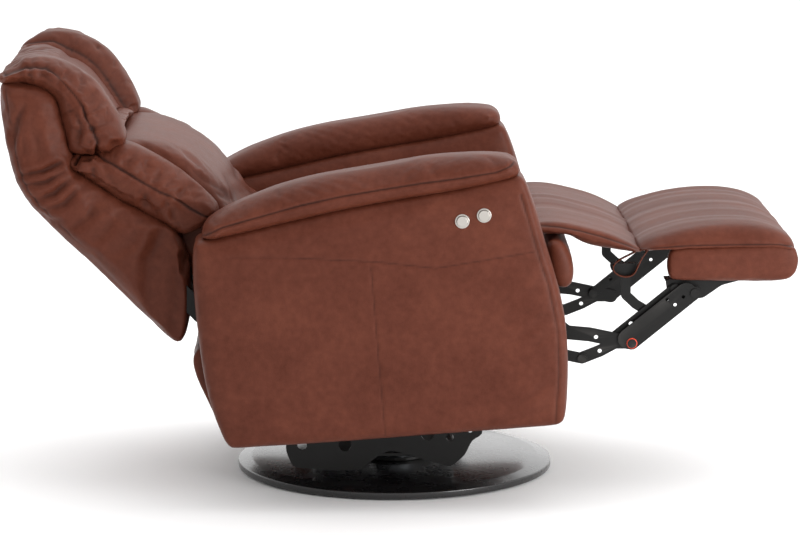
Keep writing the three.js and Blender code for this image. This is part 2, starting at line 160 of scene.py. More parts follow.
def leather_material(name, deep, mid, light):
    """Cowhide with cloudy dye, pebble grain, painted shade in folds and along seams from the piece's
    attribute, and rubbed crests.
    """
    material, tree, out = blank_material(name)
    place = node(tree, "ShaderNodeTexCoord")
    cloud = node(tree, "ShaderNodeTexNoise", [("Vector", place, "Object")], Scale=1 / CLOUD, Detail=4.0,
                 Roughness=0.55)
    mottle = node(tree, "ShaderNodeTexNoise", [("Vector", place, "Object")], Scale=1 / MOTTLE, Detail=5.0,
                  Roughness=0.65)
    both = node(tree, "ShaderNodeMath", [(0, cloud, "Fac"), (1, mottle, "Fac")], operation="ADD")
    mean = node(tree, "ShaderNodeMath", [(0, both, 0)], operation="MULTIPLY")
    mean.inputs[1].default_value = 0.5
    dye = node(tree, "ShaderNodeValToRGB", [("Fac", mean, 0)])
    dye.color_ramp.elements[0].position = 0.36
    dye.color_ramp.elements[0].color = linear(deep)
    dye.color_ramp.elements[1].position = 0.64
    dye.color_ramp.elements[1].color = linear(light)
    dye.color_ramp.elements.new(0.5).color = linear(mid)
    # Worn crests, and painted shade darkening the folds, both from how the surface bends.
    shape = node(tree, "ShaderNodeNewGeometry")
    painted_fold_shade = node(tree, "ShaderNodeMapRange", [("Value", shape, "Pointiness")], From_Min=0.44, From_Max=0.50,
                To_Min=0.55, To_Max=1.0)
    crest = node(tree, "ShaderNodeMapRange", [("Value", shape, "Pointiness")], From_Min=0.52, From_Max=0.60,
                 To_Min=1.0, To_Max=1.12)
    wear_and_fold_shade = node(tree, "ShaderNodeMath", [(0, painted_fold_shade, 0), (1, crest, 0)], operation="MULTIPLY")
    # Painted shade along seams and pleats, read from the piece's own attribute.
    seam_shade = node(tree, "ShaderNodeAttribute", attribute_name="seam_shade")
    sewn = node(tree, "ShaderNodeMapRange", [("Value", seam_shade, "Fac")], To_Min=1.0, To_Max=0.42)
    shade = node(tree, "ShaderNodeMath", [(0, wear_and_fold_shade, 0), (1, sewn, 0)], operation="MULTIPLY")
    colour = node(tree, "ShaderNodeVectorMath", [(0, dye, "Color"), ("Scale", shade, 0)], operation="SCALE")
    # Pebble grain, with finer pores in it.
    pebble = node(tree, "ShaderNodeTexVoronoi", [("Vector", place, "Object")], feature="SMOOTH_F1",
                  Scale=1 / GRAIN, Smoothness=0.6)
    pores = node(tree, "ShaderNodeTexNoise", [("Vector", place, "Object")], Scale=1 / PORE, Detail=3.0)
    grain = node(tree, "ShaderNodeMath", [(0, pebble, "Distance"), (1, pores, "Fac")], operation="ADD")
    bump = node(tree, "ShaderNodeBump", [("Height", grain, 0)], Strength=0.22, Distance=0.35 * MM)
    soft = node(tree, "ShaderNodeBump", [("Height", mottle, "Fac"), ("Normal", bump, 0)], Strength=0.35,
                Distance=1.2 * MM)
    rough = node(tree, "ShaderNodeMapRange", [("Value", mottle, "Fac")], To_Min=0.40, To_Max=0.56)
    hide = node(tree, "ShaderNodeBsdfPrincipled", [("Base Color", colour, 0), ("Roughness", rough, 0),
                                                   ("Normal", soft, 0)], IOR=1.45)
    hide.inputs["Specular IOR Level"].default_value = 0.16
    tree.links.new(hide.outputs[0], out.inputs["Surface"])
    return material


LEATHER = leather_material("brown_leather", "#4d2417", "#552a1d", "#5d3022")


# ---------------------------------------------------------------- arms
# Each arm is a board box with thin foam, covered in four leather panels that are joined by flat seams on the
# outer face, and by a run of welt just behind the front edge. All the covers are made in the same way: an
# outline is carried across, blown up as cloth, and then its seams are pulled in.
def grow(points, distance):
    """A closed X-Z outline moved outwards by `distance`. Covers start a little small, because they swell."""
    points = np.array(points, float)
    before = points - np.roll(points, 1, 0)
    after = np.roll(points, -1, 0) - points
    lean = before / np.linalg.norm(before, axis=1)[:, None] + after / np.linalg.norm(after, axis=1)[:, None]
    lean /= np.linalg.norm(lean, axis=1)[:, None] + 1e-9
    turn = np.sum(points[:, 0] * np.roll(points[:, 1], -1) - np.roll(points[:, 0], -1) * points[:, 1])
    out = np.stack([lean[:, 1], -lean[:, 0]], 1) * (1 if turn > 0 else -1)
    return points + out * distance


def rounded(points, rounds):
    """Cuts an outline's corners `rounds` times, so that it runs smoothly through its sides."""
    points = np.array(points, float)
    for _ in range(rounds):
        after = np.roll(points, -1, 0)
        points = np.stack([points * 0.75 + after * 0.25, points * 0.25 + after * 0.75], 1).reshape(-1, 2)
    return points


def built(name, mesh):
    """A bmesh as an object, its faces outwards."""
    bmesh.ops.recalc_face_normals(mesh, faces=mesh.faces)
    data = bpy.data.meshes.new(name)
    mesh.to_mesh(data)
    mesh.free()
    piece = bpy.data.objects.new(name, data)
    scene.collection.objects.link(piece)
    return piece


def stuffed(name, outline, y0, y1, edge, rounds=1, spine=None):
    """A closed form: an X-Z outline in millimetres carried from y0 to y1, its ends rounded by `edge`."""
    outline = rounded(outline, rounds)
    turns = [i / 5 * math.pi / 2 for i in range(6)]         # a quarter circle in five steps
    stations = [(y0 + edge * (1 - math.cos(turn)), edge * (1 - math.sin(turn))) for turn in turns]
    stations += [(y0 + y1 - y, inset) for y, inset in reversed(stations)]
    mesh = bmesh.new()
    rings = []
    for y, inset in stations:
        ring = drawn_in(outline, spine, inset) if spine else grow(outline, -inset)
        rings.append([mesh.verts.new((x * MM, y * MM, z * MM)) for x, z in ring])
    count = len(outline)
    for low, high in zip(rings, rings[1:]):
        for i in range(count):
            mesh.faces.new((low[i], low[(i + 1) % count], high[(i + 1) % count], high[i]))
    mesh.faces.new(rings[0])
    mesh.faces.new(reversed(rings[-1]))
    return built(name, mesh)


def only(piece):
    """Makes one object the selected and active one."""
    bpy.ops.object.select_all(action="DESELECT")
    piece.select_set(True)
    bpy.context.view_layer.objects.active = piece


def apply(piece, kind, **settings):
    """Adds a modifier, sets it and applies it."""
    only(piece)
    modifier = piece.modifiers.new(kind.lower(), kind)
    for key, value in settings.items():
        setattr(modifier, key, value)
    bpy.ops.object.modifier_apply(modifier=modifier.name)


def points_of(piece):
    """The piece's vertices as an array."""
    co = np.empty(len(piece.data.vertices) * 3, np.float32)
    piece.data.vertices.foreach_get("co", co)
    return co.reshape(-1, 3).astype(float)


def normals_of(piece):
    """The piece's vertex normals as an array."""
    no = np.empty(len(piece.data.vertices) * 3, np.float32)
    piece.data.vertex_normals.foreach_get("vector", no)
    return no.reshape(-1, 3).astype(float)


def move_to(piece, co):
    """Puts the piece's vertices at new places."""
    piece.data.vertices.foreach_set("co", co.astype(np.float32).ravel())
    piece.data.update()


def step(value, low, high):
    """A smooth rise from 0 at `low` to 1 at `high`."""
    t = np.clip((value - low) / (high - low), 0, 1)
    return t * t * (3 - 2 * t)


def sideways(co, low, high):
    """0 up to `low` millimetres from the chair's middle, rising to 1 at `high`."""
    return step(np.abs(co[:, 1]), low * MM, high * MM)


def turned(out, way, low, high):
    """Where normals point along `way`: 0 below `low`, which is a cosine, rising to 1 at `high`."""
    return step(out @ np.array(way, float), low, high)


def stitched(gap, reach, firm=1.2):
    """How firmly a seam holds the leather beside it, 0 to 1, dying out in about `reach` millimetres."""
    return np.clip(firm - gap / (reach * MM), 0, 1)


def remeshed(piece, cell):
    """Rebuilds the form as one even skin of quads, `cell` millimetres across."""
    apply(piece, "REMESH", mode="VOXEL", voxel_size=cell * MM)
    apply(piece, "SMOOTH", factor=0.6, iterations=4)


def smoothed(piece):
    """One round of subdivision, which comes before the seams where they are narrow."""
    apply(piece, "SUBSURF", levels=1, render_levels=1)


def inflated(piece, pressure, cap, slack, frames, held=None):
    """Blows the cover up as cloth with a little slack, so that it crowns and wrinkles against its seams. No
    point moves further than `cap` millimetres, and `held` is how firmly each is sewn down, 0 to 1."""
    rest = points_of(piece)
    group = piece.vertex_groups.new(name="sewn")
    if held is not None:
        for i in np.nonzero(held > 0.05)[0]:
            group.add([int(i)], float(held[i]), "REPLACE")
    only(piece)
    cloth = piece.modifiers.new("cloth", "CLOTH")
    cloth.settings.quality = 4
    cloth.settings.mass = 0.4
    cloth.settings.tension_stiffness = 8.0
    cloth.settings.compression_stiffness = 8.0
    cloth.settings.shear_stiffness = 4.8
    cloth.settings.bending_stiffness = 0.6
    cloth.settings.air_damping = 3.0
    cloth.settings.use_pressure = True
    cloth.settings.uniform_pressure_force = pressure
    cloth.settings.shrink_min = -slack
    cloth.settings.effector_weights.gravity = 0
    cloth.settings.vertex_group_mass = "sewn"
    cloth.point_cache.frame_start = 1
    cloth.point_cache.frame_end = frames
    for number in range(1, frames + 1):
        scene.frame_set(number)
    bpy.ops.object.modifier_apply(modifier="cloth")
    scene.frame_set(1)
    moved = points_of(piece) - rest
    length = np.linalg.norm(moved, axis=1)[:, None] + 1e-12
    move_to(piece, rest + moved / length * np.minimum(length, cap * MM))
    piece.vertex_groups.clear()


def ripple(along, seed):
    """A smooth wandering value from -1 to 1 along a line, where `along` is counted in waves."""
    rng = np.random.default_rng(seed)
    knots = rng.uniform(-1, 1, 512)
    low = np.floor(along).astype(int)
    t = along - low
    t = t * t * (3 - 2 * t)
    return knots[low % 512] * (1 - t) + knots[(low + 1) % 512] * t


def track(co, line, plane=(0, 2)):
    """Each point's distance from a line of millimetre points in a plane, and how far along it that is."""
    line = np.array(line, float) * MM
    flat = co[:, plane]
    best = np.full(len(flat), 1e9)
    along = np.zeros(len(flat))
    run = 0.0
    for start, end in zip(line, line[1:]):
        way = end - start
        length = np.linalg.norm(way)
        t = np.clip((flat - start) @ way / length ** 2, 0, 1)
        gap = np.linalg.norm(flat - start - t[:, None] * way, axis=1)
        nearer = gap < best
        best[nearer] = gap[nearer]
        along[nearer] = run + t[nearer] * length
        run += length
    return best, along


def sewn(piece, gap, along, where, width, depth, pucker=0.0, wave=24, reach=30, seed=1, shade=1.0):
    """Pulls a seam into the cover, paints shade into it, and gathers the leather beside it into small
    puckers.
    """
    co, out = points_of(piece), normals_of(piece)
    close = np.exp(-(gap / (width * MM)) ** 2) * where
    gathers = ripple(along / (wave * MM), seed) + 0.5 * ripple(along / (0.43 * wave * MM), seed + 7)
    beside = np.exp(-gap / (reach * MM)) * (1 - np.exp(-(gap / (width * MM)) ** 2)) * where
    shift = -depth * MM * close + pucker * MM * gathers * beside
    move_to(piece, co + out * shift[:, None])
    # Painted shade along the seam's groove, kept on the piece for the leather to darken by.
    dark = np.exp(-(gap / (0.55 * width * MM)) ** 2) * where * shade
    layer = piece.data.attributes.get("seam_shade") or piece.data.attributes.new("seam_shade", "FLOAT", "POINT")
    old = np.zeros(len(co), np.float32)
    layer.data.foreach_get("value", old)
    layer.data.foreach_set("value", np.maximum(old, dark).astype(np.float32))


def creased(piece, line, where, depth, width, plane=(0, 2)):
    """A single pull wrinkle: a soft valley between low ridges, which dies out at the ends of its line."""
    co, out = points_of(piece), normals_of(piece)
    gap, along = track(co, line, plane)
    length = along.max() + 1e-9
    fade = np.sin(np.clip(along / length, 0.02, 0.98) * math.pi) ** 0.7
    ridge = np.exp(-((gap - 1.6 * width * MM) / (width * MM)) ** 2)
    valley = np.exp(-(gap / (width * MM)) ** 2) - 0.45 * ridge
    move_to(piece, co - out * (depth * MM * valley * fade * where)[:, None])


def upholstered(piece, body, *nodes, fill):
    """Sets a finished cover in place of its CAD solids: on its body, or loose where it spans two."""
    only(piece)
    bpy.ops.object.shade_smooth()
    piece.data.materials.clear()
    piece.data.materials.append(LEATHER)
    if isinstance(body, str):
        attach(piece, body)
    else:
        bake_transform(piece)
    if nodes:
        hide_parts(*nodes)


ARM_SIDE = [
    (-367, 503), (-364, 397), (-351, 269), (-335, 195), (-308, 122), (-290, 121), (280, 161), (296, 163),
    (304, 178), (305, 260), (303, 339), (285, 422), (270, 467), (253, 525), (236, 585), (222, 622),
    (190, 614), (92, 591), (3, 577), (-87, 561), (-176, 541), (-265, 520), (-352, 500),
]
ARM_SEAMS = [
    [(-301, 473), (-194, 473), (-40, 465), (67, 453), (244, 482)],
    [(-49, 454), (-36, 290), (-23, 138)],
]
ARM_FRONT_SEAM = [(284, 165), (290, 260), (287, 339), (269, 422), (254, 467), (237, 525), (219, 585)]
ARM_INNER, ARM_OUTER = 286, 399
ARM_EDGE = 13               # how far the board's corners are padded round


def arm_cover(side, suffix):
    """One arm's leather box. The outer face is nearly flat, because the board is close behind it."""
    low, high = sorted((side * ARM_INNER, side * ARM_OUTER))
    piece = stuffed(f"arm_leather_{suffix}", ARM_SIDE, low, high, edge=ARM_EDGE)
    remeshed(piece, cell=6.5)
    co = points_of(piece)
    gap, _ = track(co, ARM_FRONT_SEAM)
    outer_face = np.abs(co[:, 1]) > 380 * MM
    inflated(piece, pressure=1.2, cap=4, slack=0.004, held=stitched(gap, 6, firm=1) * outer_face, frames=10)
    smoothed(piece)
    co = points_of(piece)
    outer = sideways(co, 385, 397)
    for number, line in enumerate(ARM_SEAMS):
        gap, along = track(co, line)
        sewn(piece, gap, along, outer, width=2.2, depth=0.9, pucker=0.15, wave=40, reach=14, seed=number,
             shade=0.45)
    gap, along = track(co, ARM_FRONT_SEAM)
    sewn(piece, gap, along, outer, width=3.2, depth=1.6, pucker=0.5, wave=45, reach=16, seed=5, shade=0.5)
    # The loose leather at the lower rear corner and behind the switches.
    for line in ([(-330, 420), (-250, 330), (-215, 200)], [(30, 560), (60, 480), (70, 430)]):
        creased(piece, line, outer, depth=0.8, width=26)
    upholstered(piece, "seat_frame", f"arm_{suffix}", fill=0.3)


for side, suffix in ((-1, "right"), (1, "left")):
    arm_cover(side, suffix)


# ---------------------------------------------------------------- arm pads
# A foam pad lies along each arm under its own cover, sewn to a side band by a seam near the lower edge. The
# cover is gathered where it turns down over the front end.
PAD_SIDE = [
    (-357, 496), (-265, 515), (-176, 536), (-87, 556), (3, 572), (92, 586), (163, 599), (206, 609),
    (222, 622), (212, 650), (166, 654), (112, 650), (56, 644), (4, 633), (-68, 621), (-140, 610),
    (-198, 596), (-257, 576), (-315, 554), (-352, 530),
]
PAD_SEAM = [
    (-352, 511), (-315, 529), (-247, 548), (-176, 568), (-104, 584), (-33, 596), (38, 607), (109, 616),
    (172, 626), (200, 638), (216, 650),
]
PAD_INNER, PAD_OUTER = 285, 409
PAD_EDGE = 30


def arm_pad(side, suffix):
    """One arm's top pad."""
    low, high = sorted((side * PAD_INNER, side * PAD_OUTER))
    piece = stuffed(f"arm_pad_leather_{suffix}", grow(PAD_SIDE, -2), low, high, edge=PAD_EDGE)
    remeshed(piece, cell=5.5)
    co = points_of(piece)
    gap, _ = track(co, PAD_SEAM)
    held = stitched(gap, 5) * (np.abs(co[:, 1]) > 385 * MM)
    under = turned(normals_of(piece), (0, 0, -1), 0.5, 0.8)
    inflated(piece, pressure=3.0, cap=8, slack=0.006, held=np.maximum(held, under), frames=14)
    smoothed(piece)
    co = points_of(piece)
    gap, along = track(co, PAD_SEAM)
    outer = sideways(co, 375, 395)
    sewn(piece, gap, along, outer, width=3.0, depth=3.0, pucker=0.9, wave=38, reach=14, seed=11)
    front = step(co[:, 0], 130 * MM, 200 * MM)
    sewn(piece, gap, along, outer * front, width=3.0, depth=0.0, pucker=2.4, wave=14, reach=16, seed=15)
    upholstered(piece, "seat_frame", f"arm_pad_{suffix}", fill=0.6)


for side, suffix in ((-1, "right"), (1, "left")):
    arm_pad(side, suffix)


# ---------------------------------------------------------------- back and headrest shell
# One loose cover runs down the whole rear, round the sides and over the headrest's hinge, so it folds there
# and drags in long wrinkles from the corner of the head cushion.
SHELL_SIDE = [
    (-413, 288), (-440, 317), (-495, 374), (-550, 431), (-605, 484), (-642, 521), (-669, 550),
    (-683, 572), (-695, 596), (-702, 624), (-707, 652), (-713, 690), (-719, 727), (-723, 765),
    (-712, 782), (-678, 779), (-651, 777), (-628, 766), (-612, 752), (-604, 723), (-595, 692),
    (-592, 665), (-585, 640), (-584, 618), (-560, 604), (-534, 585), (-498, 561), (-462, 542),
    (-426, 525), (-400, 508), (-384, 470), (-380, 400), (-384, 320), (-398, 288),
]
BACK_PIVOT = (-215, 385)


def narrowed(piece, inner=284, outer=300, near=235, far=275):
    """Keeps what swings between the arms clear of them: no further from the middle than `inner` close to the
    back's pivot, and `outer` beyond it."""
    co = points_of(piece)
    radius = np.hypot(co[:, 0] - BACK_PIVOT[0] * MM, co[:, 2] - BACK_PIVOT[1] * MM)
    limit = (inner + (outer - inner) * step(radius, near * MM, far * MM)) * MM
    co[:, 1] *= np.minimum(1, limit / np.maximum(np.abs(co[:, 1]), 1e-6))
    move_to(piece, co)


BACK_HALF = 297             # half the width of the back and of the headrest
shell = stuffed("back_leather", grow(SHELL_SIDE, -4), -BACK_HALF, BACK_HALF, edge=34)
remeshed(shell, cell=8)
front_edge = SHELL_SIDE[14:31]      # where the cushions lie against it
gap, _ = track(points_of(shell), front_edge)
inflated(shell, pressure=2.2, cap=6, slack=0.03, held=stitched(gap, 12, firm=1.3), frames=16)
narrowed(shell)
smoothed(shell)
co = points_of(shell)
side_face = sideways(co, 200, 270)
rear_welt = grow(SHELL_SIDE, -16)[:15]
gap, along = track(co, rear_welt)
sewn(shell, gap, along, sideways(co, 285, 292), width=2.6, depth=1.4, pucker=0.8, wave=30, reach=20, seed=21)
# Drag lines fan out from the corner where the head cushion meets the bolster.
for line, depth, width in (
    ([(-598, 634), (-640, 616), (-690, 606)], 6.5, 7),
    ([(-592, 620), (-636, 596), (-680, 590)], 5.0, 6),
    ([(-586, 606), (-622, 574), (-664, 560)], 6.5, 8),
    ([(-568, 592), (-604, 556), (-648, 540)], 5.0, 8),
    ([(-534, 570), (-566, 528), (-604, 502)], 4.2, 10),
    ([(-500, 552), (-530, 506), (-560, 478)], 3.0, 11),
    ([(-462, 530), (-480, 486), (-520, 462)], 2.6, 12),
    ([(-430, 512), (-442, 470), (-470, 440)], 2.4, 12),
    ([(-668, 742), (-690, 700), (-698, 640)], 5.0, 7),
    ([(-690, 730), (-680, 690), (-672, 640)], 3.0, 8),
    ([(-664, 700), (-650, 668), (-646, 632)], 2.4, 9),
    ([(-392, 470), (-402, 420), (-400, 360)], 1.2, 10),
    ([(-404, 380), (-410, 344), (-404, 306)], 1.4, 9),
):
    creased(shell, line, side_face, depth=depth, width=width)
# Across the rear face the slack shows as shallow level folds at the hinge.
rear = turned(normals_of(shell), (-1, 0, 0), 0.3, 0.6)
for height, depth in ((540, 1.8), (618, 1.6), (500, 1.8), (440, 1.6), (380, 1.4)):
    level = [(-260, height), (-90, height - 6), (80, height + 5), (260, height - 3)]
    creased(shell, level, rear, depth=depth, width=12, plane=(1, 2))
upholstered(shell, ("backrest", "headrest", (-0.655, 0, 0.555), (-0.690, 0, 0.625)),
            "back_shell", "head_shell", "back_board", "head_board", fill=0.4)


# ---------------------------------------------------------------- head cushion
# A soft cushion with a raised wing at each side and a hollow for the head between them. Each wing's end is
# closed by a gathered side band.
HEAD_SIDE = [
    (-486, 664), (-500, 692), (-515, 717), (-534, 748), (-555, 774), (-580, 794), (-608, 809),
    (-638, 817), (-668, 817), (-694, 809), (-716, 794), (-728, 778), (-720, 768), (-678, 766),
    (-655, 762), (-638, 752), (-624, 738), (-619, 718), (-610, 690), (-606, 662), (-596, 638),
    (-546, 640), (-515, 648),
]
HEAD_SEAM = [
    (-710, 789), (-693, 798), (-670, 805), (-634, 804), (-611, 789), (-590, 764), (-568, 733), (-563, 713),
    (-551, 691), (-542, 669), (-546, 645),
]
HEAD_SPINE = [(-698, 792), (-640, 792), (-606, 777), (-582, 745), (-562, 715), (-556, 685), (-552, 664)]
HEAD_FRONT = (0.6, 0, 0.8)          # the way its face looks
HEAD_REAR = (-0.8, 0, -0.6)
HOLLOW_DEPTH = 42
WING_SEAM = 180                     # from the middle to the seam at the foot of each wing


def drawn_in(points, spine, distance):
    """An outline drawn in towards the line down its middle, by up to two thirds of the way."""
    spine = np.array(spine, float)
    nearest, gap = points.copy(), np.full(len(points), 1e9)
    for start, end in zip(spine, spine[1:]):
        way = end - start
        t = np.clip((points - start) @ way / (way @ way), 0, 1)
        place = start + t[:, None] * way
        far = np.linalg.norm(points - place, axis=1)
        nearest[far < gap] = place[far < gap]
        gap = np.minimum(gap, far)
    share = np.minimum(distance / np.maximum(gap, 1e-6), 0.66)
    return points + (nearest - points) * share[:, None]


head = stuffed("head_leather", grow(HEAD_SIDE, -4), -BACK_HALF, BACK_HALF, edge=40, spine=HEAD_SPINE)
remeshed(head, cell=6)
co, out = points_of(head), normals_of(head)
hollow = 1 - sideways(co, 158, 205)
hollow *= 0.45 + 0.55 * step(co[:, 0], -670 * MM, -610 * MM)
facing = turned(out, HEAD_FRONT, 0.2, 0.7)
move_to(head, co - out * (hollow * facing * HOLLOW_DEPTH * MM)[:, None])
co = points_of(head)
gap, _ = track(co, HEAD_SEAM)
wing_line = stitched(np.abs(np.abs(co[:, 1]) - WING_SEAM * MM), 5) * facing
held = np.maximum(stitched(gap, 6) * (np.abs(co[:, 1]) > 235 * MM), wing_line)
rear_side = turned(out, HEAD_REAR, 0.3, 0.7)
inflated(head, pressure=4.0, cap=14, slack=0.05, held=np.maximum(held, rear_side), frames=18)
smoothed(head)
co, out = points_of(head), normals_of(head)
gap, along = track(co, HEAD_SEAM)
end_face = sideways(co, 235, 262)
sewn(head, gap, along, end_face, width=3.4, depth=5.0, pucker=5.2, wave=24, reach=26, seed=31)
facing = turned(out, HEAD_FRONT, 0.2, 0.7)
across = np.abs(np.abs(co[:, 1]) - WING_SEAM * MM)
sewn(head, across, co[:, 2] - co[:, 0], facing, width=4.0, depth=3.5, pucker=1.6, wave=34, reach=22, seed=35)
inner = sideways(co, 190, 210) * (1 - end_face)
for line, depth in (
    ([(-610, 806), (-572, 786), (-545, 740)], 4.0), ([(-520, 700), (-535, 690), (-560, 668)], 3.5),
):
    creased(head, line, inner, depth=depth, width=8)
for line, depth in (
    ([(-590, 735), (-572, 700), (-580, 655)], 5.0), ([(-560, 690), (-530, 700), (-512, 705)], 3.5),
    ([(-640, 795), (-628, 780), (-640, 772)], 4.0), ([(-668, 800), (-664, 788), (-676, 780)], 4.0),
    ([(-566, 716), (-540, 730), (-530, 742)], 3.0),
):
    creased(head, line, end_face, depth=depth, width=7)
upholstered(head, "headrest", "head_cushion", fill=0.7)


# ---------------------------------------------------------------- bolsters
# A stuffed roll runs up each side of the back. Its cover has one long seam on the outer side, which wanders
# because the two halves are gathered unevenly.
BOLSTER_SIDE = [
    (-560, 652), (-520, 664), (-485, 664), (-449, 645), (-413, 623), (-377, 596), (-350, 574),
    (-326, 554), (-322, 536), (-336, 512), (-386, 488), (-408, 498), (-435, 515), (-471, 532),
    (-507, 550), (-543, 576), (-569, 596), (-600, 612), (-606, 634),
]
BOLSTER_SEAM = [
    (-583, 627), (-574, 643), (-546, 645), (-520, 631), (-484, 609), (-457, 592), (-430, 576), (-408, 568),
    (-376, 544), (-349, 529), (-330, 519),
]
BOLSTER_INNER, BOLSTER_OUTER = 195, 298
BOLSTER_EDGE = 40


def bolster(side, suffix):
    """One side's roll."""
    low, high = sorted((side * BOLSTER_INNER, side * BOLSTER_OUTER))
    piece = stuffed(f"bolster_leather_{suffix}", grow(BOLSTER_SIDE, -7), low, high, BOLSTER_EDGE)
    remeshed(piece, cell=5)
    co = points_of(piece)
    gap, _ = track(co, BOLSTER_SEAM)
    held = stitched(gap, 5) * (np.abs(co[:, 1]) > 270 * MM)
    inflated(piece, pressure=4.5, cap=11, slack=0.05, held=held, frames=18)
    narrowed(piece, outer=303)
    smoothed(piece)
    co = points_of(piece)
    gap, along = track(co, BOLSTER_SEAM)
    outer = sideways(co, 250, 272)
    sewn(piece, gap, along, outer, width=3.2, depth=4.0, pucker=3.2, wave=34, reach=24, seed=41)
    for line, depth in (
        ([(-500, 618), (-478, 640), (-470, 655)], 3.4), ([(-470, 585), (-455, 556), (-440, 535)], 3.6),
        ([(-424, 572), (-412, 545), (-404, 520)], 3.8), ([(-540, 640), (-520, 600), (-510, 575)], 2.8),
        ([(-446, 590), (-424, 612), (-416, 624)], 3.0), ([(-400, 562), (-384, 580), (-372, 590)], 2.6),
        ([(-562, 640), (-552, 620), (-548, 600)], 3.4),
    ):
        creased(piece, line, outer, depth=depth, width=8)
    upholstered(piece, "backrest", f"bolster_{suffix}", fill=0.75)


for side, suffix in ((-1, "right"), (1, "left")):
    bolster(side, suffix)


# ---------------------------------------------------------------- back cushion
# The middle of the back is one wide panel over soft foam. It curls under at its foot to meet the seat, and
# the leather is pleated across where it bends.
CENTRE_SIDE = [
    (-545, 646), (-500, 660), (-453, 656), (-414, 645), (-375, 625), (-346, 600), (-322, 572),
    (-304, 548), (-282, 520), (-250, 494), (-215, 482), (-170, 470), (-136, 440), (-121, 400),
    (-122, 360), (-140, 325), (-170, 301), (-215, 290), (-265, 303), (-300, 330), (-345, 372),
    (-400, 430), (-470, 500), (-540, 575),
]
FOOT_SIDE = [
    (-300, 520), (-262, 490), (-215, 479), (-170, 468), (-138, 438), (-124, 400), (-125, 360), (-142, 327),
    (-172, 303), (-215, 293), (-265, 305), (-300, 333), (-340, 372), (-350, 430), (-335, 490),
]
CENTRE_HALF, FOOT_HALF = 211, 270


def joined(pieces):
    """Several forms as one object, named after the first."""
    only(pieces[0])
    for piece in pieces[1:]:
        piece.select_set(True)
    bpy.ops.object.join()
    return pieces[0]


centre = joined([
    stuffed("back_cushion_leather", grow(CENTRE_SIDE, -5), -CENTRE_HALF, CENTRE_HALF, edge=13),
    stuffed("back_foot", grow(FOOT_SIDE, -5), -FOOT_HALF, FOOT_HALF, edge=26),
])
remeshed(centre, cell=7)
inflated(centre, pressure=3.0, cap=9, slack=0.03, frames=14)
smoothed(centre)
co = points_of(centre)
front = turned(normals_of(centre), (1, 0, 1), 0.3, 0.8)
fade = sideways(co, 10, 120)
PLEATS = ((-292, 536, 5.5), (-276, 516, 5.0), (-262, 500, 4.0), (-310, 560, 3.2), (-238, 486, 3.0))
for number, (x, z, depth) in enumerate(PLEATS):
    # Each pleat runs across the chair through (x, z), and wanders up and down by up to 6 mm.
    gap = np.abs((co[:, 0] - x * MM) * 0.55 + (co[:, 2] - z * MM) * 0.83
                 + 6 * MM * ripple(co[:, 1] / (70 * MM) + 40, 51 + number))
    near = step(60 * MM - np.hypot(co[:, 0] - x * MM, co[:, 2] - z * MM), 0, 30 * MM)
    # Each pleat is pulled in, and shade is painted into it.
    sewn(centre, gap, co[:, 1] + 1, front * near * (0.35 + 0.65 * fade), width=5.0, depth=depth, shade=0.35)
upholstered(centre, "backrest", "back_cushion", fill=0.6)


# ---------------------------------------------------------------- seat
# A firm foam seat in a fitted cover, with a welt round its top edge. It lies on the deck between the arms,
# and is leaned back with the whole body.
TILT = math.radians(4)
TILT_AXLE = (0, 150)


def leaned(points):
    """Points of the level body, leaned back with it."""
    c, s = math.cos(TILT), math.sin(TILT)
    x0, z0 = TILT_AXLE
    return [(x0 + (x - x0) * c - (z - z0) * s, z0 + (x - x0) * s + (z - z0) * c) for x, z in points]


SEAT_SIDE = leaned([(-96, 405), (100, 404), (283, 405), (285, 440), (274, 463), (100, 465), (-82, 463),
                    (-98, 440)])
SEAT_HALF = 283
seat = stuffed("seat_leather", SEAT_SIDE, -SEAT_HALF, SEAT_HALF, edge=16)
remeshed(seat, cell=8)
under = turned(normals_of(seat), (0, 0, -1), 0.4, 0.8)
inflated(seat, pressure=3.0, cap=6, slack=0.02, held=under, frames=14)
smoothed(seat)
co = points_of(seat)
rim = np.minimum(281 * MM - np.abs(co[:, 1]), 262 * MM - co[:, 0])
welt = np.abs(rim - 18 * MM)        # it runs 18 mm in from the sides and the front
top_face = turned(normals_of(seat), (0, 0, 1), 0.6, 0.9)
sewn(seat, welt, co[:, 0] + co[:, 1] + 2, top_face, width=3.5, depth=2.6, pucker=0.8, wave=36, reach=18,
     seed=61)
upholstered(seat, "seat_frame", "seat_cushion", fill=0.5)


# ---------------------------------------------------------------- front roll and rear apron
# The seat's front rail is padded into a roll under its own leather. At the rear a flat leather apron is
# stapled between the arms, and hangs a little loose.
ROLL_SIDE = [
    (272, 484), (300, 485), (317, 462), (326, 432), (325, 405), (315, 392), (298, 390), (281, 402),
    (275, 440),
]
roll = stuffed("front_roll_leather", grow(ROLL_SIDE, -2), -281, 281, edge=18, rounds=2)
remeshed(roll, cell=6)
inflated(roll, pressure=3.0, cap=4, slack=0.02, frames=10)
for y in (-200, -70, 90, 220):
    creased(roll, [(y, 400), (y + 12, 440), (y - 4, 476)], 1.0, depth=1.6, width=14, plane=(1, 2))
smoothed(roll)
upholstered(roll, "seat_frame", "front_roll", fill=0.7)

APRON_SIDE = [
    (-330, 144), (-353, 195), (-368, 227), (-376, 260), (-371, 279), (-352, 289), (-346, 250),
    (-335, 205), (-310, 144),
]
apron = stuffed("apron_leather", APRON_SIDE, -284, 284, edge=6)
remeshed(apron, cell=6)
for line, depth in (
    ([(-250, 270), (-180, 210), (-190, 150)], 4), ([(-60, 280), (-40, 220), (-70, 160)], 3),
    ([(120, 275), (90, 215), (110, 150)], 3.5), ([(240, 270), (200, 200), (215, 150)], 4),
):
    creased(apron, line, 1.0, depth=depth, width=16, plane=(1, 2))
smoothed(apron)
upholstered(apron, "seat_frame", "rear_apron", fill=0.2)


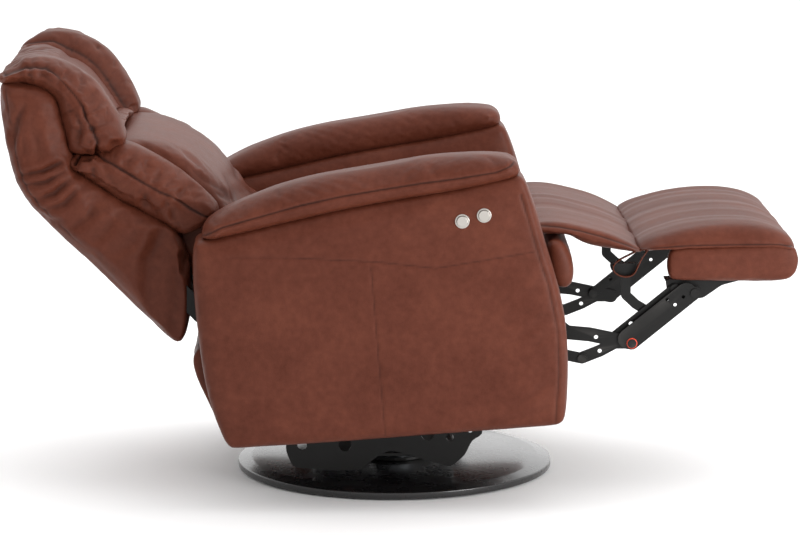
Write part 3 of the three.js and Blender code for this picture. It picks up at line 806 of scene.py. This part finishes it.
# ---------------------------------------------------------------- rear lining
# Two curved sheets of black lining cloth close the gap below the back: the outer one is stapled behind the
# apron, and the inner one hangs from the back and slides down behind it as the back comes up.
def band(name, path, y0, y1, thick):
    """A flat band laid along an X-Z path, reaching across from y0 to y1."""
    path = np.array(path, float)
    way = np.gradient(path, axis=0)
    way /= np.linalg.norm(way, axis=1)[:, None]
    side = np.stack([-way[:, 1], way[:, 0]], 1) * thick / 2
    mesh = bmesh.new()
    rings = [[mesh.verts.new((x * MM, y * MM, z * MM)) for (x, z), y in
              ((p - s, y0), (p + s, y0), (p + s, y1), (p - s, y1))] for p, s in zip(path, side)]
    for low, high in zip(rings, rings[1:]):
        for i in range(4):
            mesh.faces.new((low[i], low[(i + 1) % 4], high[(i + 1) % 4], high[i]))
    mesh.faces.new(rings[0])
    mesh.faces.new(reversed(rings[-1]))
    return built(name, mesh)


def lining_material():
    """Black spun-bonded polypropylene: matt, with a fine dimple pattern."""
    material, tree, out = blank_material("black_lining_cloth")
    place = node(tree, "ShaderNodeTexCoord")
    dimple = node(tree, "ShaderNodeTexVoronoi", [("Vector", place, "Object")], Scale=1 / (2.5 * MM))
    wide = node(tree, "ShaderNodeTexNoise", [("Vector", place, "Object")], Scale=1 / (60 * MM), Detail=3.0)
    colour = node(tree, "ShaderNodeValToRGB", [("Fac", wide, "Fac")])
    colour.color_ramp.elements[0].color = linear("#131314")
    colour.color_ramp.elements[1].color = linear("#242426")
    bump = node(tree, "ShaderNodeBump", [("Height", dimple, "Distance")], Strength=0.3, Distance=0.3 * MM)
    cloth = node(tree, "ShaderNodeBsdfPrincipled", [("Base Color", colour, "Color"), ("Normal", bump, 0)],
                 Roughness=0.85)
    tree.links.new(cloth.outputs[0], out.inputs["Surface"])
    return material


LINING = lining_material()


def lining(name, body, radius, first, last):
    """A curved sheet about the back's pivot, from one angle to the other in degrees."""
    count = 24
    angles = np.radians(np.linspace(first, last, count))
    sag = 1.2 * np.sin(np.linspace(0, 9, count))            # slight waves between its staples
    path = [(BACK_PIVOT[0] + (radius + s) * math.cos(a), BACK_PIVOT[1] + (radius + s) * math.sin(a))
            for a, s in zip(angles, sag)]
    sheet = band(name, path, -268, 268, thick=2.0)
    apply(sheet, "BEVEL", width=0.6 * MM, segments=2, limit_method="ANGLE", angle_limit=math.radians(60))
    only(sheet)
    bpy.ops.object.shade_smooth_by_angle(angle=math.radians(40))
    sheet.data.materials.append(LINING)
    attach(sheet, body)


lining("apron_lining", "seat_frame", radius=158, first=181, last=222)
lining("back_lining", "backrest", radius=152, first=180, last=222)


# ---------------------------------------------------------------- calf flap
# A thin padded flap bridges the seat and the footrest. It is sewn with a welt along each side and is soft,
# so it would bend over the front roll when the footrest folds; here it is built in one pose, on neither
# body.
FLAP_SIDE = [
    (246, 508), (262, 513), (283, 514), (313, 511), (352, 502), (392, 491), (424, 476), (440, 467),
    (456, 458), (448, 453), (419, 457), (395, 461), (375, 464), (351, 469), (333, 477), (318, 487),
    (300, 489), (268, 488), (246, 488),
]
FLAP_SPINE = [(250, 499), (266, 500), (300, 497), (352, 485), (400, 473), (446, 459)]
FLAP_SEAM = [(250, 506), (264, 508), (298, 505), (335, 498), (372, 488), (409, 476), (441, 464)]
FLAP_HALF = 265


def long_ripples(piece, height, amplitude, seed):
    """Soft lengthwise ripples where the cover has stretched, on a crown of `height`, fading at the sides."""
    co, out = points_of(piece), normals_of(piece)
    wide, narrow, drift = 62, 27, 18        # two runs of waves, and how far they wander sideways
    wander = drift * MM * ripple(co[:, 0] / (130 * MM) + 60, seed + 3)
    wave = ripple((co[:, 1] + wander + 1) / (wide * MM), seed)
    wave += 0.5 * ripple((co[:, 1] + 1.4 * wander + 1) / (narrow * MM), seed + 1)
    fade = (1 - sideways(co, 235, 265)) * turned(out, (0, 0, 1), 0.5, 0.85)
    move_to(piece, co + out * ((height * fade + amplitude * wave * fade) * MM)[:, None])


flap = stuffed("calf_flap_leather", FLAP_SIDE, -FLAP_HALF, FLAP_HALF, edge=22, spine=FLAP_SPINE)
remeshed(flap, cell=5)
long_ripples(flap, height=0.0, amplitude=2.2, seed=71)
smoothed(flap)
co = points_of(flap)
gap, along = track(co, FLAP_SEAM)
sewn(flap, gap, along, sideways(co, 250, 260), width=2.6, depth=2.0, pucker=0.6, wave=22, reach=10, seed=75)
upholstered(flap, ("seat_frame", "footrest", (0.322, 0, 0.49), (0.356, 0, 0.47)), "calf_flap", fill=0.4)

# Under the crease on each side a narrow leather strap hangs in a loop, and holds the flap to its support.
STRAP_LOOP = [
    (443, 458), (424, 448), (405, 439), (396, 428), (400, 415), (418, 407), (437, 411), (443, 428),
    (450, 443), (462, 460),
]
STRAP_INNER, STRAP_OUTER = 238.5, 250
STRAP_THICK = 2.4
for side, suffix in ((-1, "right"), (1, "left")):
    low, high = sorted((side * STRAP_INNER, side * STRAP_OUTER))
    strap = band(f"flap_strap_{suffix}", STRAP_LOOP, low, high, STRAP_THICK)
    apply(strap, "BEVEL", width=0.7 * MM, segments=2, limit_method="ANGLE", angle_limit=math.radians(60))
    apply(strap, "SUBSURF", levels=2, render_levels=2)
    only(strap)
    bpy.ops.object.shade_smooth()
    strap.data.materials.append(LEATHER)
    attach(strap, "footrest")
    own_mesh(strap)


# ---------------------------------------------------------------- footrest pad
# A boxed pad on its own board. The top cover runs off the flap, is wider than the box and wraps down over
# the rounded front end to the underside.
BOX_SIDE = [
    (506, 403), (560, 402), (640, 402), (712, 402), (729, 409), (738, 428), (738, 450), (730, 468),
    (700, 472), (620, 470), (506, 465), (498, 450), (498, 414),
]
BOX_MIDDLE = [(620, 404), (712, 403), (728, 410), (736, 430), (736, 450), (728, 466), (620, 468)]
box = joined([
    stuffed("pad_box_leather", BOX_SIDE, -260, -228, edge=9),
    stuffed("pad_box_far", BOX_SIDE, 228, 260, edge=9),
    stuffed("pad_box_middle", BOX_MIDDLE, -240, 240, edge=3),
])
remeshed(box, cell=6)
inflated(box, pressure=2.5, cap=4, slack=0.01, frames=10)
smoothed(box)
upholstered(box, "footrest", "footrest_board", fill=0.5)

TOP_SIDE = [
    (434, 458), (444, 467), (456, 475), (472, 482), (499, 490), (529, 498), (568, 504), (608, 507),
    (648, 506), (687, 499), (716, 486), (733, 471), (739, 456), (728, 452), (700, 458), (620, 459),
    (520, 457), (480, 455), (450, 451),
]
TOP_SPINE = [(446, 461), (600, 466), (728, 464)]
TOP_SEAM = [(446, 463), (482, 466), (519, 468), (556, 469), (629, 470), (703, 471), (728, 468)]
top = stuffed("footrest_pad_leather", grow(TOP_SIDE, -2), -FLAP_HALF, FLAP_HALF, edge=34, spine=TOP_SPINE)
remeshed(top, cell=5.5)
long_ripples(top, height=2.0, amplitude=2.4, seed=81)
smoothed(top)
co = points_of(top)
gap, along = track(co, TOP_SEAM)
sewn(top, gap, along, sideways(co, 245, 256), width=3.0, depth=2.6, pucker=1.4, wave=30, reach=14, seed=85)
upholstered(top, "footrest", "footrest_pad", fill=0.6)


# ---------------------------------------------------------------- base disc
# A pressed steel disc, lacquered black and polished. It stands on a felt pad, and has an upright rim with a
# low bevelled rise inside it.
def lacquer_material():
    """Black stoving lacquer: deep, glossy, with faint orange peel and dust."""
    material, tree, out = blank_material("black_lacquer")
    place = node(tree, "ShaderNodeTexCoord")
    peel = node(tree, "ShaderNodeTexNoise", [("Vector", place, "Object")], Scale=1 / (3 * MM), Detail=2.0)
    dust = node(tree, "ShaderNodeTexNoise", [("Vector", place, "Object")], Scale=1 / (40 * MM), Detail=6.0)
    bump = node(tree, "ShaderNodeBump", [("Height", peel, "Fac")], Strength=0.04, Distance=0.08 * MM)
    rough = node(tree, "ShaderNodeMapRange", [("Value", dust, "Fac")], To_Min=0.24, To_Max=0.31)
    colour = node(tree, "ShaderNodeValToRGB", [("Fac", dust, "Fac")])
    colour.color_ramp.elements[0].color = linear("#0b0a0b")
    colour.color_ramp.elements[1].color = linear("#161415")
    coat = node(tree, "ShaderNodeBsdfPrincipled", [("Base Color", colour, "Color"), ("Roughness", rough, 0),
                                                   ("Normal", bump, 0)], IOR=1.5)
    coat.inputs["Coat Weight"].default_value = 0.4
    coat.inputs["Coat Roughness"].default_value = 0.12
    tree.links.new(coat.outputs[0], out.inputs["Surface"])
    return material


DISC_THICK = 12 * MM
DISC_STEPS = ((3, 0.8), (20, 4.0), (4, 1.2), (150, 0.0))    # each step of the lid: how far in, how far up
disc_low, disc_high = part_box("base_disc")
bpy.ops.object.select_all(action="DESELECT")
bpy.ops.mesh.primitive_cylinder_add(vertices=192, radius=disc_high[0], depth=DISC_THICK,
                                    location=(0, 0, disc_low[2] + DISC_THICK / 2))
disc = bpy.context.object
disc.name = "disc_lacquered"
bpy.ops.object.transform_apply(location=True, rotation=True, scale=True)
bpy.ops.object.mode_set(mode="EDIT")
bpy.ops.mesh.select_mode(type="FACE")
bpy.ops.mesh.select_all(action="DESELECT")
work = bmesh.from_edit_mesh(disc.data)
max(work.faces, key=lambda face: face.calc_center_median().z).select_set(True)
bmesh.update_edit_mesh(disc.data)
for inset, rise in DISC_STEPS:
    bpy.ops.mesh.inset(thickness=inset * MM, depth=0.0)
    bpy.ops.transform.translate(value=(0, 0, rise * MM))
bpy.ops.object.mode_set(mode="OBJECT")
apply(disc, "BEVEL", width=1.6 * MM, segments=4, limit_method="ANGLE", angle_limit=math.radians(40))
only(disc)
bpy.ops.object.shade_smooth_by_angle(angle=math.radians(35))
disc.data.materials.append(lacquer_material())
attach(disc, "base")
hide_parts("base_disc")


# ---------------------------------------------------------------- steelwork
# The linkage and frame are stamped strip steel, powder coated satin black and rubbed paler along the edges.
# The motors' rails and the tilt axle are zinc plated, small mouldings are nylon, and boards are plywood.
def coated_material(name, dark, pale, rough_low, rough_high, metallic=0.0, speck=2.0, gloss=0.5):
    """A coating with fine texture, paler where its edges are rubbed."""
    material, tree, out = blank_material(name)
    place = node(tree, "ShaderNodeTexCoord")
    fine = node(tree, "ShaderNodeTexNoise", [("Vector", place, "Object")], Scale=1 / (speck * MM),
                Detail=4.0)
    wide = node(tree, "ShaderNodeTexNoise", [("Vector", place, "Object")], Scale=1 / (45 * MM), Detail=4.0)
    shape = node(tree, "ShaderNodeNewGeometry")
    edge = node(tree, "ShaderNodeMapRange", [("Value", shape, "Pointiness")], From_Min=0.53, From_Max=0.62)
    mixed = node(tree, "ShaderNodeMath", [(0, edge, 0), (1, wide, "Fac")], operation="MULTIPLY")
    colour = node(tree, "ShaderNodeValToRGB", [("Fac", mixed, 0)])
    colour.color_ramp.elements[0].color = linear(dark)
    colour.color_ramp.elements[1].color = linear(pale)
    rough = node(tree, "ShaderNodeMapRange", [("Value", wide, "Fac")], To_Min=rough_low, To_Max=rough_high)
    bump = node(tree, "ShaderNodeBump", [("Height", fine, "Fac")], Strength=0.25, Distance=0.15 * MM)
    coat = node(tree, "ShaderNodeBsdfPrincipled", [("Base Color", colour, "Color"), ("Roughness", rough, 0),
                                                   ("Normal", bump, 0)], Metallic=metallic)
    coat.inputs["Specular IOR Level"].default_value = gloss
    tree.links.new(coat.outputs[0], out.inputs["Surface"])
    return material


FINISHES = {
    "black_steel": coated_material("black_powder_coat", "#0e0d0c", "#383634", 0.36, 0.5, gloss=0.24),
    "zinc_steel": coated_material("zinc_plate", "#8f9296", "#c4c7cb", 0.28, 0.45, metallic=1.0, speck=1.2),
    "black_plastic": coated_material("black_nylon", "#18181a", "#2c2c2e", 0.5, 0.7, speck=0.8),
    "button_metal": coated_material("satin_nickel", "#b9b4ae", "#e6e2dc", 0.3, 0.42, metallic=1.0,
                                    speck=0.5),
    "felt": coated_material("grey_felt", "#3c3c3f", "#5a5a5d", 0.9, 1.0, speck=1.0),
}


def plywood_material():
    """Birch plywood, sanded and sealed: pale bands of grain along the board."""
    material, tree, out = blank_material("birch_plywood")
    place = node(tree, "ShaderNodeTexCoord")
    along = node(tree, "ShaderNodeMapping", [("Vector", place, "Object")])
    along.inputs["Scale"].default_value = (1, 9, 9)
    grain = node(tree, "ShaderNodeTexNoise", [("Vector", along, 0)], Scale=12.0, Detail=8.0, Roughness=0.6)
    colour = node(tree, "ShaderNodeValToRGB", [("Fac", grain, "Fac")])
    colour.color_ramp.elements[0].color = linear("#a5804f")
    colour.color_ramp.elements[1].color = linear("#dcc193")
    bump = node(tree, "ShaderNodeBump", [("Height", grain, "Fac")], Strength=0.2, Distance=0.3 * MM)
    board = node(tree, "ShaderNodeBsdfPrincipled", [("Base Color", colour, "Color"), ("Normal", bump, 0)],
                 Roughness=0.55)
    tree.links.new(board.outputs[0], out.inputs["Surface"])
    return material


FINISHES["plywood"] = plywood_material()

SLOT_OF = {part["node"]: part["material_slot"] for part in frame["record"]["subparts"]}
SLOT_OF["switch_housing"] = "button_metal"      # only its two metal bezels show
for name, part in frame["nodes"].items():
    if part.hide_render or SLOT_OF[name] not in FINISHES:
        continue
    part.data.materials.clear()
    part.data.materials.append(FINISHES[SLOT_OF[name]])
    weld = part.modifiers.new("weld", "WELD")
    weld.merge_threshold = 0.02 * MM
    edge = part.modifiers.new("edge", "BEVEL")
    edge.width = 0.5 * MM
    edge.segments = 2
    edge.limit_method = "ANGLE"
    edge.angle_limit = math.radians(50)


# ---------------------------------------------------------------- washers
# A thin red nylon washer sits under the rivet head at the tip of each lever, so that the bars don't rub.
def nylon_material(name, colour):
    """Dyed nylon with a slight sheen and moulding marks."""
    material, tree, out = blank_material(name)
    place = node(tree, "ShaderNodeTexCoord")
    fine = node(tree, "ShaderNodeTexNoise", [("Vector", place, "Object")], Scale=1 / (1.5 * MM), Detail=3.0)
    bump = node(tree, "ShaderNodeBump", [("Height", fine, "Fac")], Strength=0.1, Distance=0.1 * MM)
    rough = node(tree, "ShaderNodeMapRange", [("Value", fine, "Fac")], To_Min=0.35, To_Max=0.5)
    body = node(tree, "ShaderNodeBsdfPrincipled", [("Roughness", rough, 0), ("Normal", bump, 0)],
                Base_Color=linear(colour))
    tree.links.new(body.outputs[0], out.inputs["Surface"])
    return material


NYLON = nylon_material("red_nylon", "#d8401c")


def washer(name, place, radius, hole, thick, body):
    """A flat ring with eased edges, across the chair at [x, y, z] millimetres."""
    bpy.ops.object.select_all(action="DESELECT")
    bpy.ops.mesh.primitive_circle_add(vertices=40, radius=radius * MM, location=[v * MM for v in place],
                                      rotation=(math.pi / 2, 0, 0))
    ring = bpy.context.object
    ring.name = name
    bpy.ops.object.transform_apply(location=True, rotation=True, scale=True)
    bpy.ops.object.mode_set(mode="EDIT")
    bpy.ops.mesh.select_all(action="SELECT")
    bpy.ops.mesh.extrude_edges_move()
    bpy.ops.transform.resize(value=[hole / radius] * 3)
    bpy.ops.object.mode_set(mode="OBJECT")
    apply(ring, "SOLIDIFY", thickness=thick * MM, offset=0)
    apply(ring, "BEVEL", width=0.15 * MM, segments=2, limit_method="ANGLE")
    bpy.ops.object.mode_set(mode="EDIT")
    bpy.ops.mesh.select_all(action="SELECT")
    bpy.ops.mesh.normals_make_consistent(inside=False)
    bpy.ops.object.mode_set(mode="OBJECT")
    bpy.ops.object.shade_smooth_by_angle(angle=math.radians(40))
    ring.data.materials.append(NYLON)
    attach(ring, body)


for side, suffix in ((-1, "right"), (1, "left")):
    washer(f"tip_washer_{suffix}", (434, side * 246.8, 284), radius=9.9, hole=4.0, thick=0.6,
           body="long_links")
